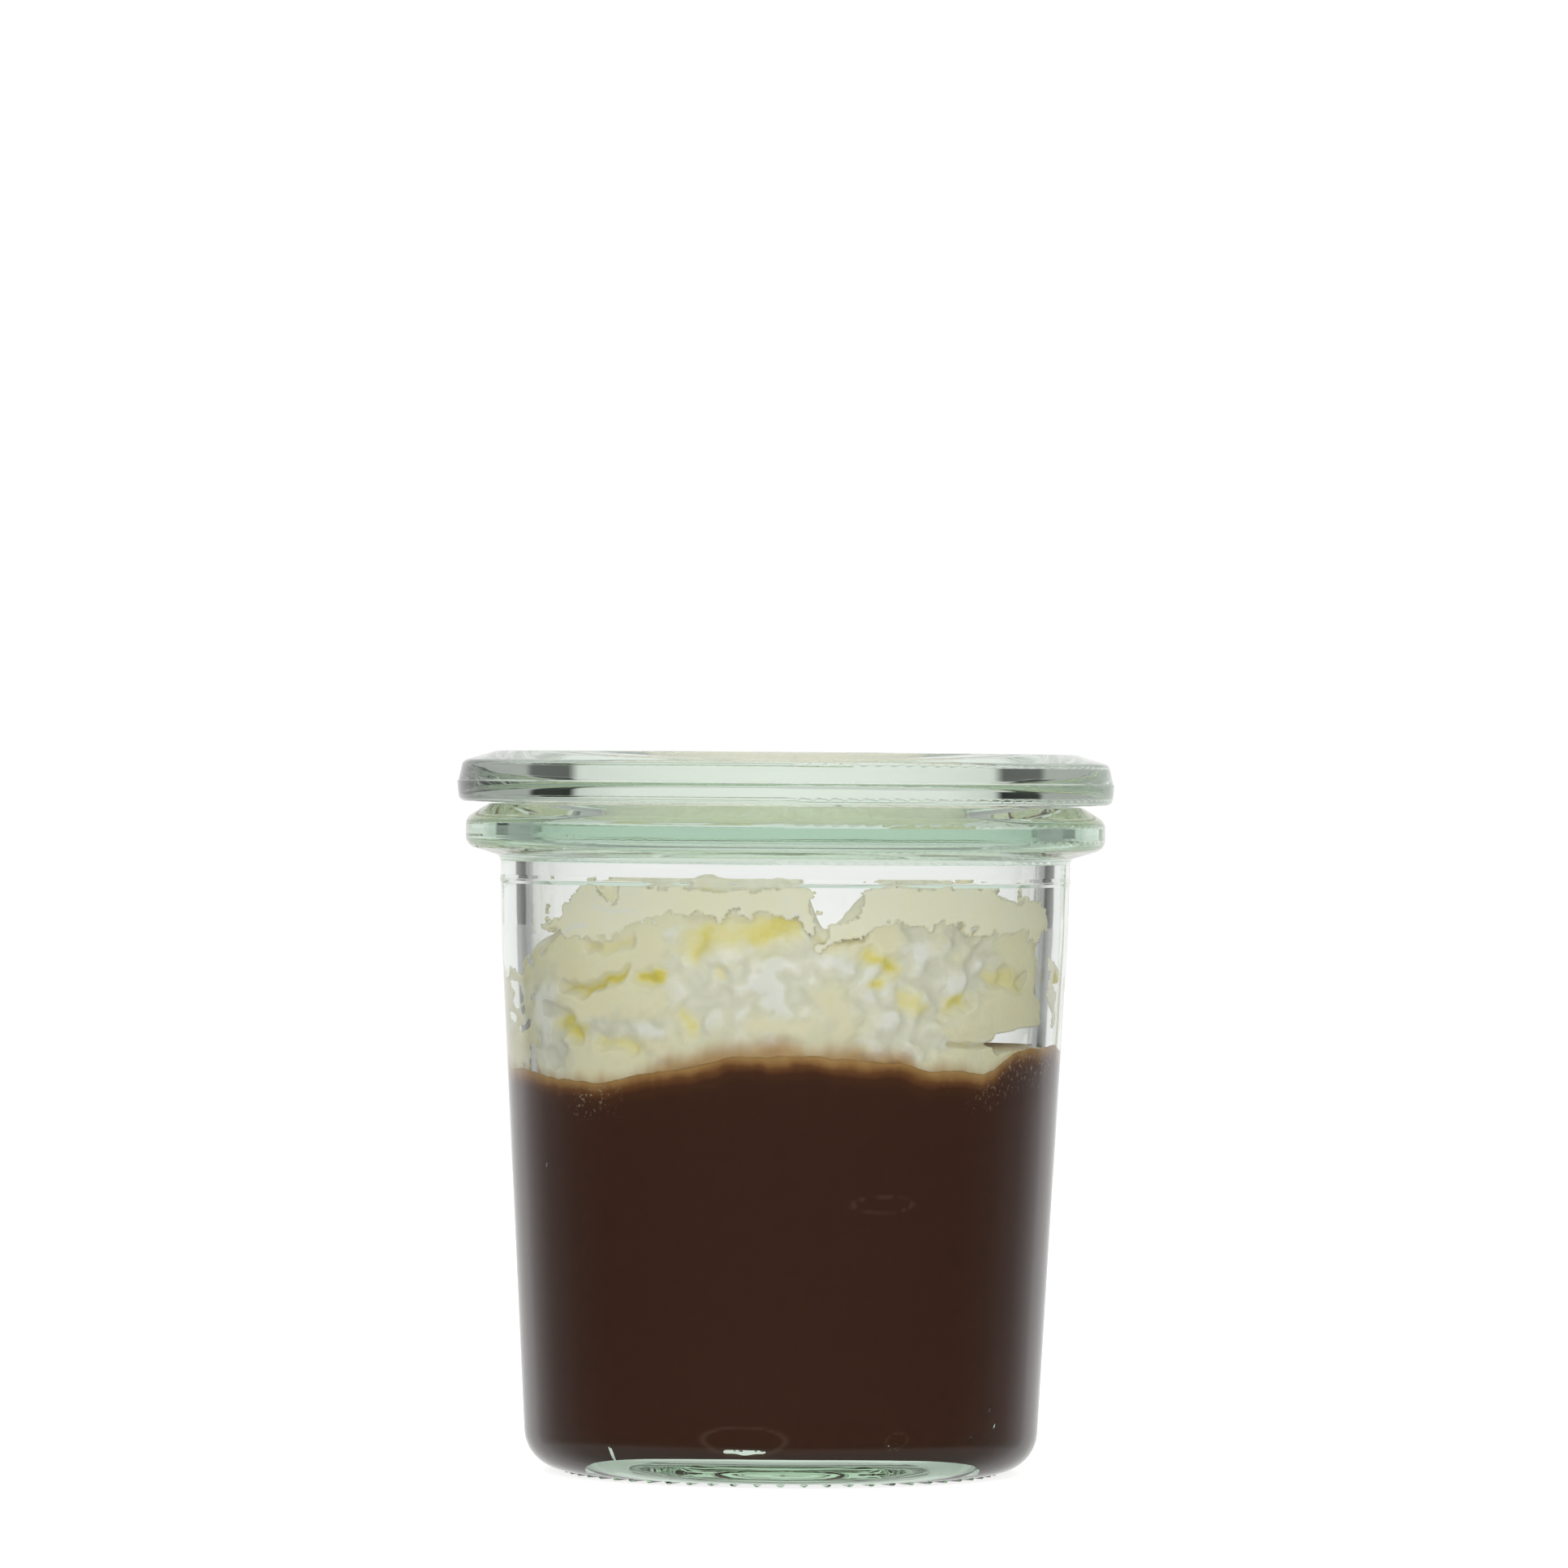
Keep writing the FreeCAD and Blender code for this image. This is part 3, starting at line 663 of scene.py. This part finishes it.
stage = {
    "floorRadius": 750.0,  # mm
    "floorDrop": 0.02,  # mm below the foot
    "floorCorners": 96,
    "shown": 1.05,  # brightness of the backdrop itself
    # studio as the glass mirrors it, from the table up: where each ring of it begins and is full, and in
    # each ring degrees from straight behind the jar and brightness
    "mirrored": [
        ((-9.0, -8.0), [(0, 0.95), (40, 0.85), (70, 0.45), (180, 0.38)]),
        ((-0.30, -0.20), [(0, 0.97), (38, 0.88), (44, 0.66), (60, 0.32), (80, 0.16), (100, 0.09),
                          (180, 0.08)]),
        ((-0.087, -0.077), [(0, 0.97), (38, 0.80), (43, 0.70), (47, 0.03), (84, 0.03), (88, 0.24),
                            (180, 0.22)]),
        ((-0.050, -0.040), [(0, 0.97), (40, 0.80), (47, 0.10), (84, 0.10), (92, 0.28), (180, 0.25)]),
        ((0.05, 0.15), [(0, 0.97), (45, 0.60), (180, 0.60)]),
        ((0.50, 0.75), [(0, 0.97), (180, 0.97)]),
    ],
    # and as it shows through the glass: a black flag stands on each side of the bright backdrop
    "through": [
        ((-9.0, -8.0), [(0, 0.97), (20, 0.90), (28.5, 0.70), (30, 0.02), (39, 0.02), (40.5, 0.42),
                        (90, 0.34), (180, 0.32)]),
        ((-0.50, -0.44), [(0, 0.72), (20, 0.68), (28.5, 0.60), (30, 0.02), (39, 0.02), (40.5, 0.40),
                          (90, 0.30), (180, 0.30)]),
        ((-0.26, -0.20), [(0, 0.95), (20, 0.88), (28.5, 0.70), (30, 0.02), (39, 0.02), (40.5, 0.42),
                          (90, 0.34), (180, 0.32)]),
        ((-0.085, -0.075), [(0, 0.97), (14, 0.92), (28, 0.80), (30, 0.30), (39, 0.30), (41, 0.44),
                            (90, 0.38), (180, 0.35)]),
        ((-0.040, -0.030), [(0, 0.97), (14, 0.92), (28, 0.80), (30, 0.10), (39, 0.10), (41, 0.44),
                            (90, 0.38), (180, 0.35)]),
        ((0.0, 0.03), [(0, 0.97), (14, 0.92), (31, 0.80), (43, 0.44), (90, 0.38), (180, 0.35)]),
        ((0.30, 0.45), [(0, 0.97), (60, 0.92), (180, 0.86)]),
    ],
    # light that falls on the food, from behind round to the front, and from above
    "soft": [(0, 1.0), (40, 0.7), (70, 0.16), (110, 0.18), (135, 0.58), (160, 1.1), (180, 1.3)],
    "softTop": 1.08,
    "softPower": 1.75,
}


def opalTable():
    # opal acrylic sheet, matted and lit from below: even white with a fine tooth, drawn 0.8 mm
    # coarse so that it shows
    material, tree = newMaterial("mattedOpalAcrylic")
    coords = addNode(tree, "TexCoord").outputs["Object"]
    tooth = addNode(tree, "TexNoise", {"Scale": 1.0 / (0.8 * mm), "Detail": 3.0}, {"Vector": coords})
    bump = addNode(tree, "Bump", {"Strength": 0.1, "Distance": 0.1 * mm}, {"Height": tooth.outputs["Fac"]})
    shader = addNode(tree, "BsdfPrincipled", {
        "Base Color": linear("#a8a8a6"),
        "Roughness": 0.9,
        "Specular IOR Level": 0.1,
        "Emission Color": linear("#ffffff"),
        "Emission Strength": 0.82,
    }, {"Normal": bump.outputs["Normal"]})
    addNode(tree, "OutputMaterial", links={"Surface": shader.outputs[0]})
    return material


def makeFloor():
    count = stage["floorCorners"]
    turns = np.linspace(-180.0, 180.0, count, endpoint=False)
    corners = np.stack([polar(turns, r, -stage["floorDrop"]) for r in (0.001, stage["floorRadius"])], axis=1)
    floor = meshObject("floor", corners, roundFaces(count, 2), {})
    floor.data.materials.append(opalTable())
    floor.visible_glossy = False
    floor.visible_transmission = False  # the studio's rings stand for it in the glass
    if floor.data.polygons[0].normal.z < 0.0:
        floor.data.flip_normals()


def makeWorld():
    world = bpy.data.worlds.new("studio")
    bpy.context.scene.world = world
    world.use_nodes = True
    tree = world.node_tree
    tree.nodes.clear()
    parts = addNode(tree, "SeparateXYZ", links={"Vector": addNode(tree, "TexCoord").outputs["Generated"]})
    aside = addNode(tree, "Math", links={0: parts.outputs["X"]}, operation="ABSOLUTE").outputs[0]
    turn = addNode(tree, "Math", links={0: aside, 1: parts.outputs["Y"]}, operation="ARCTAN2").outputs[0]
    share = addNode(tree, "Math", {1: math.pi}, {0: turn}, operation="DIVIDE").outputs[0]
    # the rings dip towards the front, as a table's edge does
    half = addNode(tree, "Math", {1: 0.5}, {0: turn}, operation="MULTIPLY").outputs[0]
    dip = addNode(tree, "Math", links={0: half}, operation="SINE").outputs[0]
    lowered = addNode(tree, "Math", {1: 0.1, 2: -0.05}, {0: dip}, operation="MULTIPLY_ADD").outputs[0]
    up = addNode(tree, "Math", links={0: parts.outputs["Z"], 1: lowered}, operation="ADD").outputs[0]
    looks = []
    for look in ("mirrored", "through"):
        seen = None
        for (begins, full), ring in stage[look]:
            stops = [(angle / 180.0, level) for angle, level in ring]
            level = addNode(tree, "ValToRGB", links={"Fac": share}, stops=stops).outputs["Color"]
            begun = addNode(tree, "MapRange", {"From Min": begins, "From Max": full}, {"Value": up},
                            interpolation_type="SMOOTHSTEP")
            seen = addNode(tree, "Mix", links={0: begun.outputs["Result"], 6: seen or level, 7: level},
                           data_type="RGBA").outputs[2]
        looks.append(seen)
    path = addNode(tree, "LightPath")
    seen = addNode(tree, "Mix", links={0: path.outputs["Is Transmission Ray"], 6: looks[0], 7: looks[1]},
                   data_type="RGBA").outputs[2]
    # food is lit evenly, without the flags that shape the glass
    stops = [(angle / 180.0, level) for angle, level in stage["soft"]]
    soft = addNode(tree, "ValToRGB", links={"Fac": share}, stops=stops)
    above = addNode(tree, "MapRange", {"From Min": 0.2, "From Max": 0.9}, {"Value": parts.outputs["Z"]})
    top, shown = [[stage[name]] * 3 + [1.0] for name in ("softTop", "shown")]
    fill = addNode(tree, "Mix", {7: top}, {0: above.outputs["Result"], 6: soft.outputs["Color"]},
                   data_type="RGBA").outputs[2]
    onFood = addNode(tree, "Math", {1: 0.5}, {0: path.outputs["Diffuse Depth"]},
                     operation="GREATER_THAN").outputs[0]
    power = addNode(tree, "Math", {1: stage["softPower"] - 1.0, 2: 1.0}, {0: onFood},
                    operation="MULTIPLY_ADD").outputs[0]
    lit = addNode(tree, "Mix", links={0: onFood, 6: seen, 7: fill}, data_type="RGBA").outputs[2]
    whole = addNode(tree, "Mix", {7: shown}, {0: path.outputs["Is Camera Ray"], 6: lit},
                    data_type="RGBA").outputs[2]
    background = addNode(tree, "Background", links={"Color": whole, "Strength": power})
    addNode(tree, "OutputWorld", links={"Surface": background.outputs[0]})


camera = {
    "place": (-0.0002, -1.0, 0.0740),  # m
    "lens": 215.6,  # mm
    "sensor": 36.0,
    "clip": (0.01, 20.0),
    "pitch": -0.049,  # degrees
    "roll": 0.45,
}


def makeCamera():
    data = bpy.data.cameras.new("camera")
    data.lens = camera["lens"]
    data.sensor_width = camera["sensor"]
    data.clip_start, data.clip_end = camera["clip"]
    item = bpy.data.objects.new("camera", data)
    bpy.context.scene.collection.objects.link(item)
    tilt = Matrix.Rotation(math.radians(90.0 + camera["pitch"]), 3, "X")
    item.rotation_euler = (tilt @ Matrix.Rotation(math.radians(camera["roll"]), 3, "Z")).to_euler()
    item.location = camera["place"]
    bpy.context.scene.camera = item


def finishPiece(piece, material):
    piece.data.materials.append(material)
    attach(piece, "root")
    return piece


clear, rim, foot = glass["clear"], glass["rimTint"], glass["footTint"]
jarTop, lidTop = [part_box(node)[1].z / mm for node in ("jar", "lid")]
rimStart, rimFull = [(jarTop - below) / jarTop for below in glass["rimHeight"]]
jarGlass = pressedGlass("pressedSodaLimeGlass", glass["jarDensity"], 0.0, jarTop, [
    (0.0, foot), (0.03, foot), (0.06, clear), (rimStart, clear), (rimFull, rim), (1.0, rim)])
lidGlass = pressedGlass("pressedLidGlass", glass["lidDensity"], jarTop, lidTop, [
    (0.0, clear), (0.32, clear), (0.45, glass["lidTint"]), (1.0, glass["lidTint"])])
for node, material in (("jar", jarGlass), ("lid", lidGlass)):
    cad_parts[node].data.materials.clear()
    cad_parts[node].data.materials.append(material)
print("glass finished")

puddingPiece = finishPiece(makePudding(), cookedPudding())
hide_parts("pudding")
print("pudding made:", len(puddingPiece.data.polygons), "faces")

creamPiece = finishPiece(makeCream(), whippedCream("whippedDairyCream"))
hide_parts("cream")
smearPiece = finishPiece(makeSmears(), whippedCream("thinDairyCream"))
print("cream made:", len(creamPiece.data.polygons), "and", len(smearPiece.data.polygons), "faces")

makeFloor()
makeWorld()
makeCamera()
scene = bpy.context.scene
scene.view_settings.view_transform = "Standard"
scene.cycles.max_bounces = 40
scene.cycles.glossy_bounces = 32  # light caught inside thick glass
scene.cycles.transmission_bounces = 24
scene.cycles.transparent_max_bounces = 16
print("stage set")
